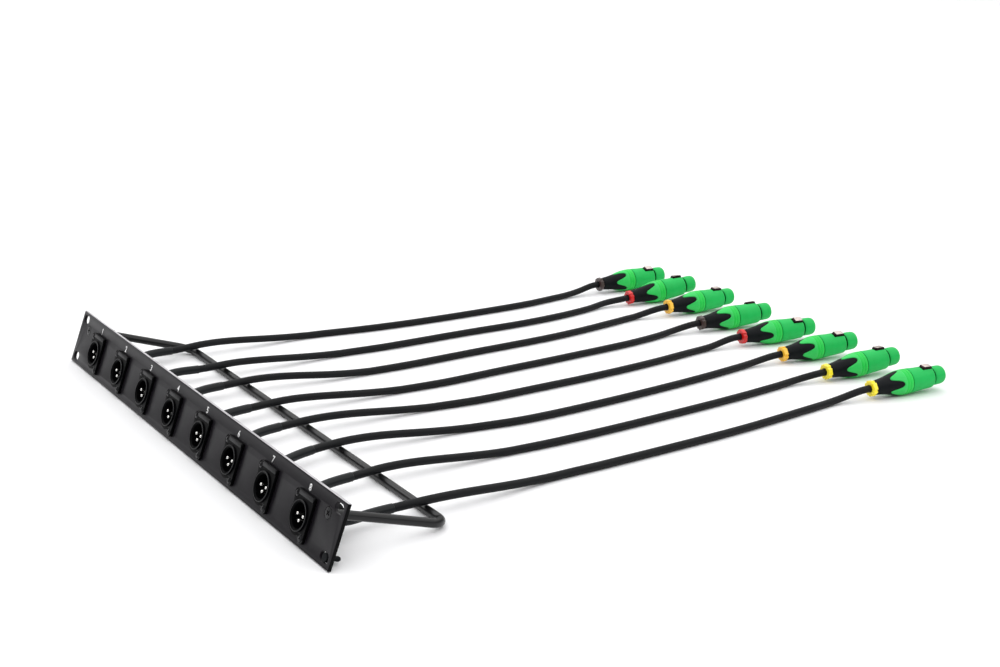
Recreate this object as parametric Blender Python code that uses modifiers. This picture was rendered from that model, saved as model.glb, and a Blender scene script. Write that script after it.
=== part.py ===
"""Rack-width XLR patch panel with a rear lacing bar and eight cable tails.

The panel leans back on the lacing bar, as it does when it is put down on a
table: the rear lower edge of the plate and the rear run of the bar both touch
the surface z = 0. The origin is under the middle of the panel and bar.

World axes: X along the panel (channel 1 at -X, channel 8 at +X), Y towards the
plugs, Z up. Lengths below are in millimetres and are turned into metres where
points are made.
"""
import math

import bmesh
import bpy
import numpy as np
from mathutils import Matrix, Vector

MM = 0.001
GAP = 0.3                 # clearance kept between touching pieces

# ---- panel plate ----
CHANNELS = 8
PANEL_W = 482.6           # 19 inch
PANEL_H = 44.0            # one rack unit, less its clearance
PANEL_T = 2.5
SLOT_EDGE = 8.75          # slot centre to the end of the plate
SLOT_PITCH = 31.75        # between the two slots of one ear
SLOT_L, SLOT_H = 10.4, 6.8
PITCH = 55.2              # channel to channel
SOCKET_S = 18.5           # socket centre above the plate's lower edge
CUTOUT_R = 12.1

# ---- socket (chassis connector) ----
FLANGE_W, FLANGE_H, FLANGE_T = 26.0, 31.0, 1.9
FLANGE_HOLE_DX, FLANGE_HOLE_DS, FLANGE_HOLE_R = 9.5, 12.0, 1.6
FLANGE_BACK = -0.25       # behind-the-front coordinate n of the flange's back
RIM_N, RIM_R = -3.2, 10.55
CUP_R, CUP_N = 8.3, 9.8   # bore of the cup, and where its floor is
BARREL_R, BARREL_N = 11.8, 25.0
INSERT_T = 6.0
LEDGE_N = CUP_N + INSERT_T + GAP
REAR_BORE_R = 6.2
PIN_R = 1.2
PIN_TIP_N = -1.96
PIN_TAIL_N = 19.8
PIN_DX, PIN_S, PIN_DROP = 3.81, 0.92, 3.81

# ---- lacing bar ----
ROD_R = 3.2
ARM_X = PANEL_W / 2 - 19.5   # where an arm meets the plate
ARM_S = 31.0
ARM_DEPTH = 92.3             # plate front to the centre of the rear run
ARM_RISE = math.radians(2.0)
ARM_SPLAY = math.radians(-2.1)   # the arms close in slightly to the rear
BEND_R = 14.0
TAP_R, TAP_DEPTH = 2.0, 11.0
HEAD_R, HEAD_T, SHANK_R = 3.9, 2.0, 1.65

# ---- cable ----
CABLE_R = 3.0
SLEEVE_R = 3.4
SLEEVE_Y = 72.0           # the shrink sleeve ends this far behind the plate
FLOOR_Z = 3.06            # cable axis where it lies on the surface
CREST_Z = 9.85            # cable axis where it crosses the bar
RISE_RUN = 42.0           # it lifts off the surface this far before its plug

# ---- plug on the tail, u from the middle of the coding ring to the nose ----
PLUG_L = 75.0
RING_HALF, RING_R, RING_BORE = 2.0, 6.8, 3.4
BOOT_U0, BOOT_U1 = 2.3, 24.5
BELLY_R = 10.7
GROOVE_U0, GROOVE_U1 = 61.7, 63.1
POCKET_U0, POCKET_U1, POCKET_HALF, POCKET_FLOOR = 51.0, 62.6, 3.3, 4.9
LATCH_U0, LATCH_U1, LATCH_HALF = 51.4, 61.5, 2.75
LATCH_PIVOT_U, LATCH_PIVOT_R = 52.4, 7.6

# Where each plug lies: ring x and y behind the plate, heading from +Y towards
# +X, nose-up pitch, and how far the latch is rolled from straight up towards
# +X (degrees).
PLUGS = [
    (-222.8, 538.3, 3.9, 2.5, 18.0),
    (-172.7, 538.4, 4.0, 5.8, -9.0),
    (-122.9, 547.8, 2.3, 2.2, 3.0),
    (-66.3, 541.9, 6.5, 3.8, -21.0),
    (-12.5, 545.8, 8.8, 2.8, 23.0),
    (43.7, 544.5, 8.3, 4.4, 14.0),
    (100.2, 542.9, 4.7, 4.5, -4.0),
    (153.9, 541.9, 4.3, 2.4, 8.0),
]
# The way each tail is laid: its x at these distances behind the plate.
STATIONS = (55, 75, 100, 130, 165, 205, 250, 300, 350, 400, 450, 490, 515)
LAY = [
    (-201, -201, -205, -208, -209.5, -210.5, -207, -205, -206, -208.5, -213, -220.5, -223),
    (-144.5, -142.5, -144.5, -145.5, -147, -148.5, -148.5, -151.5, -154.5, -156.5, -162.5, -171.5, -176),
    (-91.5, -94, -96.5, -96, -93, -92, -93.5, -98, -102, -106.5, -114.5, -123, -127),
    (-32.5, -35, -38, -38, -37.5, -37.5, -38, -43, -47.5, -52.5, -58, -65.5, -69.5),
    (18.5, 14.5, 11.5, 10, 10, 11.5, 13.5, 10.5, 7, 2, -5, -12, -15),
    (75, 69, 65, 63.5, 64.5, 66.5, 70, 68, 63.5, 57.5, 50.5, 43.5, 40.5),
    (131.5, 128.5, 125, 123.5, 123, 123, 122.5, 119.5, 115, 110, 104, 98, 96),
    (191, 190.5, 190, 188.5, 185, 180.5, 178, 174.5, 170.5, 165.5, 158.5, 152.5, 150.5),
]

COLOURS = {               # name: colour, roughness, metallic
    "panel": ((0.030, 0.030, 0.034), 0.45, 0.0),
    "bar": ((0.014, 0.014, 0.015), 0.35, 0.0),
    "screw": ((0.020, 0.020, 0.022), 0.40, 0.8),
    "receptacle": ((0.010, 0.010, 0.011), 0.38, 0.0),
    "insert": ((0.006, 0.006, 0.007), 0.50, 0.0),
    "cable": ((0.016, 0.016, 0.017), 0.55, 0.0),
    "shell": ((0.030, 0.510, 0.120), 0.45, 0.0),
    "boot": ((0.012, 0.014, 0.020), 0.60, 0.0),
    "latch": ((0.780, 0.760, 0.740), 0.12, 1.0),
    "ring_brown": ((0.030, 0.016, 0.014), 0.35, 0.0),
    "ring_red": ((0.620, 0.015, 0.020), 0.35, 0.0),
    "ring_amber": ((0.880, 0.320, 0.020), 0.35, 0.0),
    "ring_yellow": ((0.930, 0.640, 0.015), 0.35, 0.0),
}
RING_COLOURS = ("brown", "red", "amber", "brown", "red", "amber", "yellow", "yellow")

# ---- how the panel rests ----
# Seen from the side, the rear run's centre is (ARM_DEPTH, rise_s) in the
# plate's own n, s axes. The plate's rear lower edge (n = PANEL_T, s = 0) and
# the bottom of the rod are both on the surface, which fixes the lean.
RISE_S = ARM_S + ARM_DEPTH * math.tan(ARM_RISE)
LEAN = math.atan2(RISE_S, ARM_DEPTH - PANEL_T) - math.asin(
    ROD_R / math.hypot(RISE_S, ARM_DEPTH - PANEL_T))
SIN, COS = math.sin(LEAN), math.cos(LEAN)
LIFT = PANEL_T * SIN      # height of the front lower edge
REAR_Y = RISE_S * SIN + ARM_DEPTH * COS + ROD_R
FRONT_Y = min(0.0,
              (SOCKET_S - FLANGE_H / 2) * SIN + (FLANGE_BACK - FLANGE_T) * COS)
Y0 = (REAR_Y + FRONT_Y) / 2   # the origin is under the middle of plate and bar


def channel_x(i):
    return (i - (CHANNELS - 1) / 2) * PITCH


def on_plate(x, n, s):
    """World point (mm) of a point in the plate's axes."""
    return Vector((x, s * SIN + n * COS - Y0, s * COS - n * SIN + LIFT))


# ---------------------------------------------------------------- helpers
for ob in list(bpy.data.objects):
    bpy.data.objects.remove(ob, do_unlink=True)
for block in (bpy.data.meshes, bpy.data.curves, bpy.data.materials):
    for item in list(block):
        block.remove(item)
for coll in list(bpy.data.collections):
    bpy.data.collections.remove(coll)

PARTS = bpy.data.collections.new("xlr_patch_panel")
CUTTERS = bpy.data.collections.new("cutters")
bpy.context.scene.collection.children.link(PARTS)
bpy.context.scene.collection.children.link(CUTTERS)

MATERIALS = {}
for name, (rgb, rough, metal) in COLOURS.items():
    mat = bpy.data.materials.new(name)
    mat.use_nodes = True
    bsdf = mat.node_tree.nodes["Principled BSDF"]
    bsdf.inputs["Base Color"].default_value = (*rgb, 1.0)
    bsdf.inputs["Roughness"].default_value = rough
    bsdf.inputs["Metallic"].default_value = metal
    mat.diffuse_color = (*rgb, 1.0)
    MATERIALS[name] = mat


def smooth(mesh, angle=35.0):
    mesh.shade_smooth()
    mesh.set_sharp_from_angle(angle=math.radians(angle))


def empty(name, matrix, parent=None):
    ob = bpy.data.objects.new(name, None)
    ob.empty_display_size = 0.01
    PARTS.objects.link(ob)
    ob.parent = parent
    ob.matrix_local = matrix
    return ob


def place(name, mesh, material, parent=None, matrix=None):
    """A part: its own object, with its own material slot."""
    ob = bpy.data.objects.new(name, mesh)
    if not mesh.materials:
        mesh.materials.append(None)
    PARTS.objects.link(ob)
    ob.parent = parent
    if matrix is not None:
        ob.matrix_local = matrix
    ob.material_slots[0].link = "OBJECT"
    ob.material_slots[0].material = MATERIALS[material]
    return ob


def guide(name, mesh, matrix=None):
    """A cutter or a shape that is joined into a part."""
    ob = bpy.data.objects.new(name, mesh)
    ob.hide_render = True
    ob.display_type = "WIRE"
    CUTTERS.objects.link(ob)
    if matrix is not None:
        ob.matrix_world = matrix
    return ob


def evaluated_mesh(ob, name):
    """The mesh that an object's curve or modifiers make, welded."""
    bpy.context.view_layer.update()
    graph = bpy.context.evaluated_depsgraph_get()
    mesh = bpy.data.meshes.new_from_object(ob.evaluated_get(graph), depsgraph=graph)
    mesh.name = name
    bm = bmesh.new()
    bm.from_mesh(mesh)
    bmesh.ops.remove_doubles(bm, verts=bm.verts, dist=0.000002)
    bmesh.ops.recalc_face_normals(bm, faces=bm.faces)
    bm.to_mesh(mesh)
    bm.free()
    return mesh


def boolean(ob, other, operation):
    mod = ob.modifiers.new(operation.lower() + "_" + other.name, "BOOLEAN")
    mod.operation = operation
    mod.object = other
    mod.solver = "EXACT"
    return mod


def turned(name, profile, steps, closed=False):
    """Mesh turned about local Z from (radius, height) points in mm. An open
    profile starts and ends on the axis; both kinds run down the outer side."""
    bm = bmesh.new()
    verts = [bm.verts.new((r * MM, 0.0, z * MM)) for r, z in profile]
    for a, b in zip(verts, verts[1:]):
        bm.edges.new((a, b))
    if closed:
        bm.edges.new((verts[-1], verts[0]))
    mesh = bpy.data.meshes.new(name + "_profile")
    bm.to_mesh(mesh)
    bm.free()
    ob = guide(name + "_turn", mesh)
    mod = ob.modifiers.new("turn", "SCREW")
    mod.axis = "Z"
    mod.angle = math.tau
    mod.steps = mod.render_steps = steps
    mod.use_merge_vertices = True
    mod.merge_threshold = 0.00001
    mod.use_normal_calculate = True
    made = evaluated_mesh(ob, name)
    bpy.data.objects.remove(ob, do_unlink=True)
    return made


def plate(name, loops, thickness):
    """Flat plate in local XY from closed outlines (mm), holes inside the first,
    centred on local Z."""
    curve = bpy.data.curves.new(name + "_outline", "CURVE")
    curve.dimensions = "2D"
    curve.fill_mode = "BOTH"
    curve.extrude = thickness / 2 * MM
    for loop in loops:
        spline = curve.splines.new("POLY")
        spline.points.add(len(loop) - 1)
        for point, (x, y) in zip(spline.points, loop):
            point.co = (x * MM, y * MM, 0.0, 1.0)
        spline.use_cyclic_u = True
    ob = guide(name + "_flat", curve)
    made = evaluated_mesh(ob, name)
    bpy.data.objects.remove(ob, do_unlink=True)
    return made


def arc(cx, cy, r, a0, a1, count):
    return [(cx + r * math.cos(math.radians(a0 + (a1 - a0) * k / count)),
             cy + r * math.sin(math.radians(a0 + (a1 - a0) * k / count)))
            for k in range(count + 1)]


def circle(cx, cy, r, count, turn=0.0):
    return arc(cx, cy, r, turn, turn + 360.0, count)[:-1]


def slot(cx, cy, length, height, count=4):
    r, d = height / 2, (length - height) / 2
    return arc(cx + d, cy, r, -90, 90, count) + arc(cx - d, cy, r, 90, 270, count)


def block(name, low, high):
    """A box between two corners in mm."""
    bm = bmesh.new()
    size = [(h - l) * MM for l, h in zip(low, high)]
    centre = [(h + l) / 2 * MM for l, h in zip(low, high)]
    bmesh.ops.create_cube(bm, size=1.0,
                          matrix=Matrix.Translation(centre) @ Matrix.Diagonal((*size, 1.0)))
    mesh = bpy.data.meshes.new(name)
    bm.to_mesh(mesh)
    bm.free()
    return mesh


def cylinder(name, r, z0, z1, segments, r1=None):
    bm = bmesh.new()
    bmesh.ops.create_cone(bm, cap_ends=True, segments=segments, radius1=r * MM,
                          radius2=(r if r1 is None else r1) * MM, depth=(z1 - z0) * MM,
                          matrix=Matrix.Translation((0, 0, (z0 + z1) / 2 * MM)))
    mesh = bpy.data.meshes.new(name)
    bm.to_mesh(mesh)
    bm.free()
    return mesh


def tube(name, points, radius, resolution, factors=None):
    """A round tube along points (mm) with filled ends, as a curve."""
    curve = bpy.data.curves.new(name, "CURVE")
    curve.dimensions = "3D"
    curve.twist_mode = "MINIMUM"
    curve.bevel_depth = radius * MM
    curve.bevel_resolution = resolution
    curve.use_fill_caps = True
    spline = curve.splines.new("POLY")
    spline.points.add(len(points) - 1)
    for k, (point, co) in enumerate(zip(spline.points, points)):
        point.co = (co[0] * MM, co[1] * MM, co[2] * MM, 1.0)
        point.radius = 1.0 if factors is None else factors[k]
    return curve


def spline_through(points):
    """Natural cubic spline through 3D points, by chord length. Returns the
    total chord length and a function of it."""
    p = np.array([tuple(q) for q in points], float)
    t = np.concatenate([[0.0], np.cumsum(np.linalg.norm(np.diff(p, axis=0), axis=1))])
    h = np.diff(t)
    n = len(t)
    a = np.zeros((n, n))
    b = np.zeros((n, 3))
    a[0, 0] = a[-1, -1] = 1.0
    for i in range(1, n - 1):
        a[i, i - 1], a[i, i], a[i, i + 1] = h[i - 1], 2 * (h[i - 1] + h[i]), h[i]
        b[i] = 6 * ((p[i + 1] - p[i]) / h[i] - (p[i] - p[i - 1]) / h[i - 1])
    m = np.linalg.solve(a, b)

    def at(u):
        i = min(max(int(np.searchsorted(t, u)) - 1, 0), n - 2)
        w, v = t[i + 1] - u, u - t[i]
        return ((m[i] * w ** 3 + m[i + 1] * v ** 3) / (6 * h[i])
                + (p[i] / h[i] - m[i] * h[i] / 6) * w
                + (p[i + 1] / h[i] - m[i + 1] * h[i] / 6) * v)
    return t[-1], at


# ---------------------------------------------------------------- the panel
# The plate's frame: local X along the plate, local Y = n (rearwards), local
# Z = s (up the plate).
TILT = empty("panel_tilt",
             Matrix.Translation((0, -Y0 * MM, LIFT * MM)) @ Matrix.Rotation(-LEAN, 4, "X"))

corners = [(-PANEL_W / 2, 0), (PANEL_W / 2, 0), (PANEL_W / 2, PANEL_H), (-PANEL_W / 2, PANEL_H)]
loops = [corners]
for i in range(CHANNELS):
    # each hole is turned a little, so that no corners of two holes line up
    loops.append(circle(channel_x(i), SOCKET_S, CUTOUT_R, 20, 2.0 + 1.7 * i))
for sx in (-1, 1):
    for ds in (-1, 1):
        loops.append(slot(sx * (PANEL_W / 2 - SLOT_EDGE), PANEL_H / 2 + ds * SLOT_PITCH / 2,
                          SLOT_L, SLOT_H))
    loops.append(circle(sx * ARM_X, ARM_S, SHANK_R + 0.5, 12))
panel_mesh = plate("panel", loops, PANEL_T)
# drawn in X, Y: stand it up so that Y becomes s and the thickness becomes n
panel_mesh.transform(Matrix.Translation((0, PANEL_T / 2 * MM, 0)) @ Matrix.Rotation(math.pi / 2, 4, "X"))
panel = place("panel", panel_mesh, "panel", TILT)
smooth(panel_mesh)
for sx, side in ((-1, "left"), (1, "right")):
    # countersinks for the two bar screws
    mesh = cylinder("countersink", HEAD_R + GAP + 0.35, -0.35, HEAD_T + 0.35, 16, SHANK_R + 0.2)
    cut = guide("countersink_" + side, mesh)
    cut.parent = TILT
    cut.matrix_local = Matrix.Translation((sx * ARM_X * MM, 0, ARM_S * MM)) @ Matrix.Rotation(-math.pi / 2, 4, "X")
    boolean(panel, cut, "DIFFERENCE")

# ---------------------------------------------------------------- lacing bar
def bar_path():
    """Half of the bar in plate axes, from an arm's end to the middle."""
    rise, splay = math.tan(ARM_RISE), math.tan(ARM_SPLAY)
    n0 = PANEL_T + GAP
    half = [(ARM_X, n0), (ARM_X, n0 + 4.0)]
    turn = math.pi / 2 + ARM_SPLAY   # the arm leans in by the splay
    start = ARM_DEPTH - BEND_R * math.tan(turn / 2)
    half.append(((ARM_X + splay * start), start))
    cx = ARM_X + splay * start - BEND_R * math.cos(ARM_SPLAY)
    cn = start + BEND_R * math.sin(ARM_SPLAY)
    steps = 7
    for k in range(1, steps + 1):
        a = -ARM_SPLAY + (math.pi / 2 + ARM_SPLAY) * k / steps
        half.append((cx + BEND_R * math.cos(a), cn + BEND_R * math.sin(a)))
    shift = ARM_DEPTH - half[-1][1]
    half = half[:2] + [(x, n + shift) for x, n in half[2:]]
    return [(x, n, ARM_S + max(0.0, n - n0 - 4.0) * rise * ARM_DEPTH / (ARM_DEPTH - n0 - 4.0))
            for x, n in half]


right = bar_path()
left = [(-x, n, s) for x, n, s in right]
points = [on_plate(*q) for q in left] + [on_plate(*q) for q in reversed(right)]
bar_curve = tube("lacing_bar_route", points, ROD_R, 4)
bar_guide = guide("lacing_bar_curve", bar_curve)
bar_mesh = evaluated_mesh(bar_guide, "lacing_bar")
bpy.data.objects.remove(bar_guide, do_unlink=True)
bar = place("lacing_bar", bar_mesh, "bar")
smooth(bar_mesh)
for sx, side in ((-1, "left"), (1, "right")):
    cut = guide("tapping_" + side, cylinder("tapping", TAP_R, 0.0, PANEL_T + TAP_DEPTH, 12))
    cut.parent = TILT
    cut.matrix_local = Matrix.Translation((sx * ARM_X * MM, 0, ARM_S * MM)) @ Matrix.Rotation(-math.pi / 2, 4, "X")
    boolean(bar, cut, "DIFFERENCE")

# the screws that hold the bar: countersunk head, cross recess, shank in the arm
screw_profile = [(0, PANEL_T + TAP_DEPTH - 1.0), (SHANK_R, PANEL_T + TAP_DEPTH - 1.0),
                 (SHANK_R, HEAD_T), (HEAD_R, 0.15), (HEAD_R, 0.0), (0, 0.0)]
screw_mesh = turned("bar_screw", screw_profile, 16)
for sx, side in ((-1, "left"), (1, "right")):
    screw = place("bar_screw_" + side, screw_mesh, "screw", TILT,
                  Matrix.Translation((sx * ARM_X * MM, 0, ARM_S * MM)) @ Matrix.Rotation(-math.pi / 2, 4, "X"))
    for k, (w, h) in enumerate(((4.2, 1.0), (1.0, 4.2))):
        cut = guide("recess_%s_%d" % (side, k), block("recess", (-w / 2, -h / 2, -1.0), (w / 2, h / 2, 1.1)))
        cut.parent = TILT
        cut.matrix_local = screw.matrix_local.copy()
        boolean(screw, cut, "DIFFERENCE")
smooth(screw_mesh)

# ---------------------------------------------------------------- sockets
# Drawn with local Z rearwards (n), local X along the plate and local Y down it.
def flange_outline():
    """A disc round the cut-out with an ear for each screw: upper left and
    lower right, and a square upper right corner."""
    w, h, r = FLANGE_W / 2, FLANGE_H / 2, 3.4
    disc = CUTOUT_R + 0.6
    out = []
    # counter-clockwise in (x, s): lower right ear, right side, top, upper left ear
    out += arc(w - r, -h + r, r, -120, 0, 3)
    out += arc(w - 1.2, h - 1.2, 1.2, 0, 90, 1)
    out += arc(-w + r, h - r, r, 90, 210, 3)
    # round the left of the disc to the lower right ear
    out += arc(0, 0, disc, 152, 292, 8)
    return [(x, -s) for x, s in out]


flange = guide("flange", plate("flange", [flange_outline(),
                                          circle(-FLANGE_HOLE_DX, -FLANGE_HOLE_DS, FLANGE_HOLE_R, 8),
                                          circle(FLANGE_HOLE_DX, FLANGE_HOLE_DS, FLANGE_HOLE_R, 8),
                                          circle(0, 0, 9.4, 12, 7.0)], FLANGE_T),
               Matrix.Translation((0, 0, (FLANGE_BACK - FLANGE_T / 2) * MM)))
body_profile = [(REAR_BORE_R, BARREL_N), (BARREL_R, BARREL_N),
                (BARREL_R, FLANGE_BACK - 0.6), (RIM_R, FLANGE_BACK - 0.6),
                (RIM_R, RIM_N), (CUP_R + 0.8, RIM_N), (CUP_R, RIM_N + 1.2),
                (CUP_R, LEDGE_N), (REAR_BORE_R, LEDGE_N)]
socket_guide = guide("socket_body", turned("socket_body", body_profile, 18, closed=True))
boolean(socket_guide, flange, "UNION")
socket_mesh = evaluated_mesh(socket_guide, "receptacle")
smooth(socket_mesh)

# contact carrier with its three pins, each one rod from tip to solder end
carrier_profile = [(0, CUP_N + INSERT_T), (CUP_R - GAP, CUP_N + INSERT_T), (CUP_R - GAP, CUP_N), (0, CUP_N)]
pin_profile = [(0, PIN_TAIL_N), (PIN_R, PIN_TAIL_N), (PIN_R, PIN_TIP_N + 0.8), (0, PIN_TIP_N)]
carrier = guide("carrier", turned("carrier", carrier_profile, 16))
for k, (x, s) in enumerate(((-PIN_DX, PIN_S), (PIN_DX, PIN_S), (0.0, PIN_S - PIN_DROP))):
    pin = guide("pin_%d" % (k + 1), turned("pin", pin_profile, 8), Matrix.Translation((x * MM, -s * MM, 0)))
    boolean(carrier, pin, "UNION")
insert_mesh = evaluated_mesh(carrier, "contact_insert")
smooth(insert_mesh)

for i in range(CHANNELS):
    at = empty("channel_%d" % (i + 1),
               Matrix.Translation((channel_x(i) * MM, 0, SOCKET_S * MM)) @ Matrix.Rotation(-math.pi / 2, 4, "X"), TILT)
    place("receptacle_%d" % (i + 1), socket_mesh, "receptacle", at)
    place("contact_insert_%d" % (i + 1), insert_mesh, "insert", at)

# ---------------------------------------------------------------- plugs
# Drawn with local Z along the plug towards its nose and local X towards the latch.
def plug_radius(u):
    """Outer radius of boot and shell before the groove."""
    table = ((2.3, 5.9), (10.0, 6.75), (15.0, 7.8), (20.0, 9.0), (25.0, 10.1), (29.0, 10.6),
             (33.0, BELLY_R), (38.0, BELLY_R), (42.0, 10.3), (47.0, 9.95), (55.0, 9.75), (61.7, 9.35))
    for (u0, r0), (u1, r1) in zip(table, table[1:]):
        if u <= u1:
            return r0 + (r1 - r0) * (u - u0) / (u1 - u0)
    return table[-1][1]


def rest_height(pitch):
    """Axis height over the surface at the ring, for a plug that lies on its belly."""
    best = RING_R
    for k in range(0, 62):
        best = max(best, plug_radius(k) / math.cos(pitch) - k * math.tan(pitch) if k > 2 else best)
    return best + 0.08


ring_profile = [(RING_BORE, RING_HALF), (RING_R, RING_HALF), (RING_R, -RING_HALF), (RING_BORE, -RING_HALF)]
ring_mesh = turned("colour_ring", ring_profile, 14, closed=True)
smooth(ring_mesh)

boot_profile = ([(0, BOOT_U1), (plug_radius(BOOT_U1), BOOT_U1)]
                + [(plug_radius(u), u) for u in (20.0, 12.0)] + [(5.9, BOOT_U0), (0, BOOT_U0)])
boot_mesh = turned("plug_boot", boot_profile, 16)
smooth(boot_mesh)

u1 = BOOT_U1 + GAP
shell_profile = ([(0, PLUG_L), (6.4, PLUG_L), (7.95, PLUG_L - 1.8), (7.95, GROOVE_U1 + 0.2),
                  (7.4, GROOVE_U1), (7.4, GROOVE_U0 + 0.2), (9.3, GROOVE_U0)]
                 + [(plug_radius(u), u) for u in (47.0, 38.0, 33.0)]
                 + [(plug_radius(u1), u1), (0, u1)])
shell_guide = guide("shell_body", turned("shell_body", shell_profile, 16))
pocket = guide("latch_pocket", block("latch_pocket", (POCKET_FLOOR, -POCKET_HALF, POCKET_U0),
                                     (13.0, POCKET_HALF, POCKET_U1)))
boolean(shell_guide, pocket, "DIFFERENCE")
shell_mesh = evaluated_mesh(shell_guide, "plug_shell")
smooth(shell_mesh)

# the latch: a thumb tab seen from the side, drawn in (u, radius) about its pivot
tab = [(LATCH_U0, 6.6), (LATCH_U1, 6.6), (LATCH_U1, 10.0), (60.4, 11.2), (56.5, 11.5), (53.2, 11.6), (LATCH_U0, 10.4)]
tab_mesh = plate("plug_latch", [[(u - LATCH_PIVOT_U, r - LATCH_PIVOT_R) for u, r in tab]], 2 * LATCH_HALF)
# outline x is along the plug (local Z), outline y is radial (local X)
tab_mesh.transform(Matrix(((0, 1, 0, 0), (0, 0, 1, 0), (1, 0, 0, 0), (0, 0, 0, 1))))

for i, (x, y, heading, pitch, roll) in enumerate(PLUGS):
    heading, pitch, roll = (math.radians(a) for a in (heading, pitch, roll))
    axis = Vector((math.sin(heading) * math.cos(pitch), math.cos(heading) * math.cos(pitch), math.sin(pitch)))
    side = axis.cross(Vector((0, 0, 1))).normalized()      # towards +X
    up = side.cross(axis)
    latch = up * math.cos(roll) + side * math.sin(roll)
    across = axis.cross(latch)
    origin = Vector((x, y - Y0, rest_height(pitch)))
    frame = Matrix((latch, across, axis)).transposed().to_4x4()
    frame.translation = origin * MM
    n = i + 1
    at = empty("plug_axis_%d" % n, frame)
    place("colour_ring_%d" % n, ring_mesh, "ring_" + RING_COLOURS[i], at)
    place("plug_boot_%d" % n, boot_mesh, "boot", at)
    place("plug_shell_%d" % n, shell_mesh, "shell", at)
    hinge = empty("latch_hinge_%d" % n,
                  Matrix.Translation((LATCH_PIVOT_R * MM, 0, LATCH_PIVOT_U * MM)), at)
    place("plug_latch_%d" % n, tab_mesh, "latch", hinge)

    # the tail: straight out of the socket, over the bar, down to the surface,
    # along its lay and up into the ring
    start = on_plate(channel_x(i), PIN_TAIL_N + 0.8, SOCKET_S)
    route = [start, on_plate(channel_x(i), BARREL_N + 1.0, SOCKET_S)]
    for station, lx in zip(STATIONS, LAY[i]):
        if station < 100:
            z = CREST_Z - 1.0 * ((100.0 - station) / 45.0) ** 1.5
        else:
            t = min(max((station - 103.0) / (212.0 - 103.0), 0.0), 1.0)
            z = CREST_Z + (FLOOR_Z - CREST_Z) * t * t * (3 - 2 * t)
        t = max((station - (y - RISE_RUN)) / RISE_RUN, 0.0)
        z += (origin.z - z) * t * t * (3 - 2 * t)
        route.append(Vector((lx, station - Y0, z)))
    route += [origin - axis * 7.0, origin + axis * RING_HALF]
    length, at_length = spline_through(route)
    sleeve = 0.0
    while at_length(sleeve)[1] + Y0 < SLEEVE_Y:
        sleeve += 0.5
    knots = list(np.linspace(0.0, sleeve - 0.5, 5)) + [sleeve]
    knots += list(np.linspace(sleeve, length, 31))[1:]
    factors = [SLEEVE_R / CABLE_R if k <= sleeve - 0.4 else 1.0 for k in knots]
    pts = [at_length(k) for k in knots]
    pts = [(p[0], p[1], max(p[2], FLOOR_Z)) for p in pts]
    cable = tube("cable_%d" % n, pts, CABLE_R, 2, factors)
    cable.materials.append(MATERIALS["cable"])
    tail = bpy.data.objects.new("cable_%d" % n, cable)
    PARTS.objects.link(tail)

for ob in list(CUTTERS.objects):     # shapes already taken into a mesh
    if ob.name in ("flange", "socket_body", "carrier", "pin_1", "pin_2", "pin_3", "shell_body", "latch_pocket"):
        bpy.data.objects.remove(ob, do_unlink=True)
bpy.context.view_layer.update()
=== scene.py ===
"""Looks of the XLR patch panel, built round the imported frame.

Lengths in the tables below are in millimetres and are turned into metres when
a mesh is made. n is measured rearwards from the plate's front, s up the plate.
"""
import math

import bmesh
import bpy
import numpy as np
from mathutils import Matrix, Vector


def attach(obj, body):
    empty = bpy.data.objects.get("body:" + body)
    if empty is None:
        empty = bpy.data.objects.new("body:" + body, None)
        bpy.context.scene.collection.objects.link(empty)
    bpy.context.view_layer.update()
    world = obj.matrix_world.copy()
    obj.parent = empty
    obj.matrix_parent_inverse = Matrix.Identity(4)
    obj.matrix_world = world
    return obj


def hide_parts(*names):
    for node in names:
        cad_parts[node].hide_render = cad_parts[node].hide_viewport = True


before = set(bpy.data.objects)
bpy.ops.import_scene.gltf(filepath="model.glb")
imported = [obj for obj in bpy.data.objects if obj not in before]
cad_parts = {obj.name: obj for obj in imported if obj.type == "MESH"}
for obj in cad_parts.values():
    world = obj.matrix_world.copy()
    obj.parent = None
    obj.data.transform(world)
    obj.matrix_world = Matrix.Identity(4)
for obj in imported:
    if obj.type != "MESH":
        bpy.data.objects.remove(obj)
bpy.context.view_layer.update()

MM = 0.001
ROOT = "panel_assembly"
scene = bpy.context.scene

# ------------------------------------------------------------------ camera
cam_data = bpy.data.cameras.new("camera")
cam_data.sensor_fit = "HORIZONTAL"
cam_data.sensor_width = 36.0
cam_data.lens = 57.886
cam_data.clip_start, cam_data.clip_end = 0.05, 60.0
cam = bpy.data.objects.new("camera", cam_data)
scene.collection.objects.link(cam)
RIGHT = Vector((0.5365787, 0.8433043, 0.0303499))
UP = Vector((-0.2536129, 0.1268572, 0.9589514))
AHEAD = Vector((-0.8048377, 0.5222500, -0.2819418))
cam.matrix_world = Matrix.Translation((1.04460, -0.45252, 0.41708)) @ Matrix((RIGHT, UP, -AHEAD)).transposed().to_4x4()
scene.camera = cam

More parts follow.
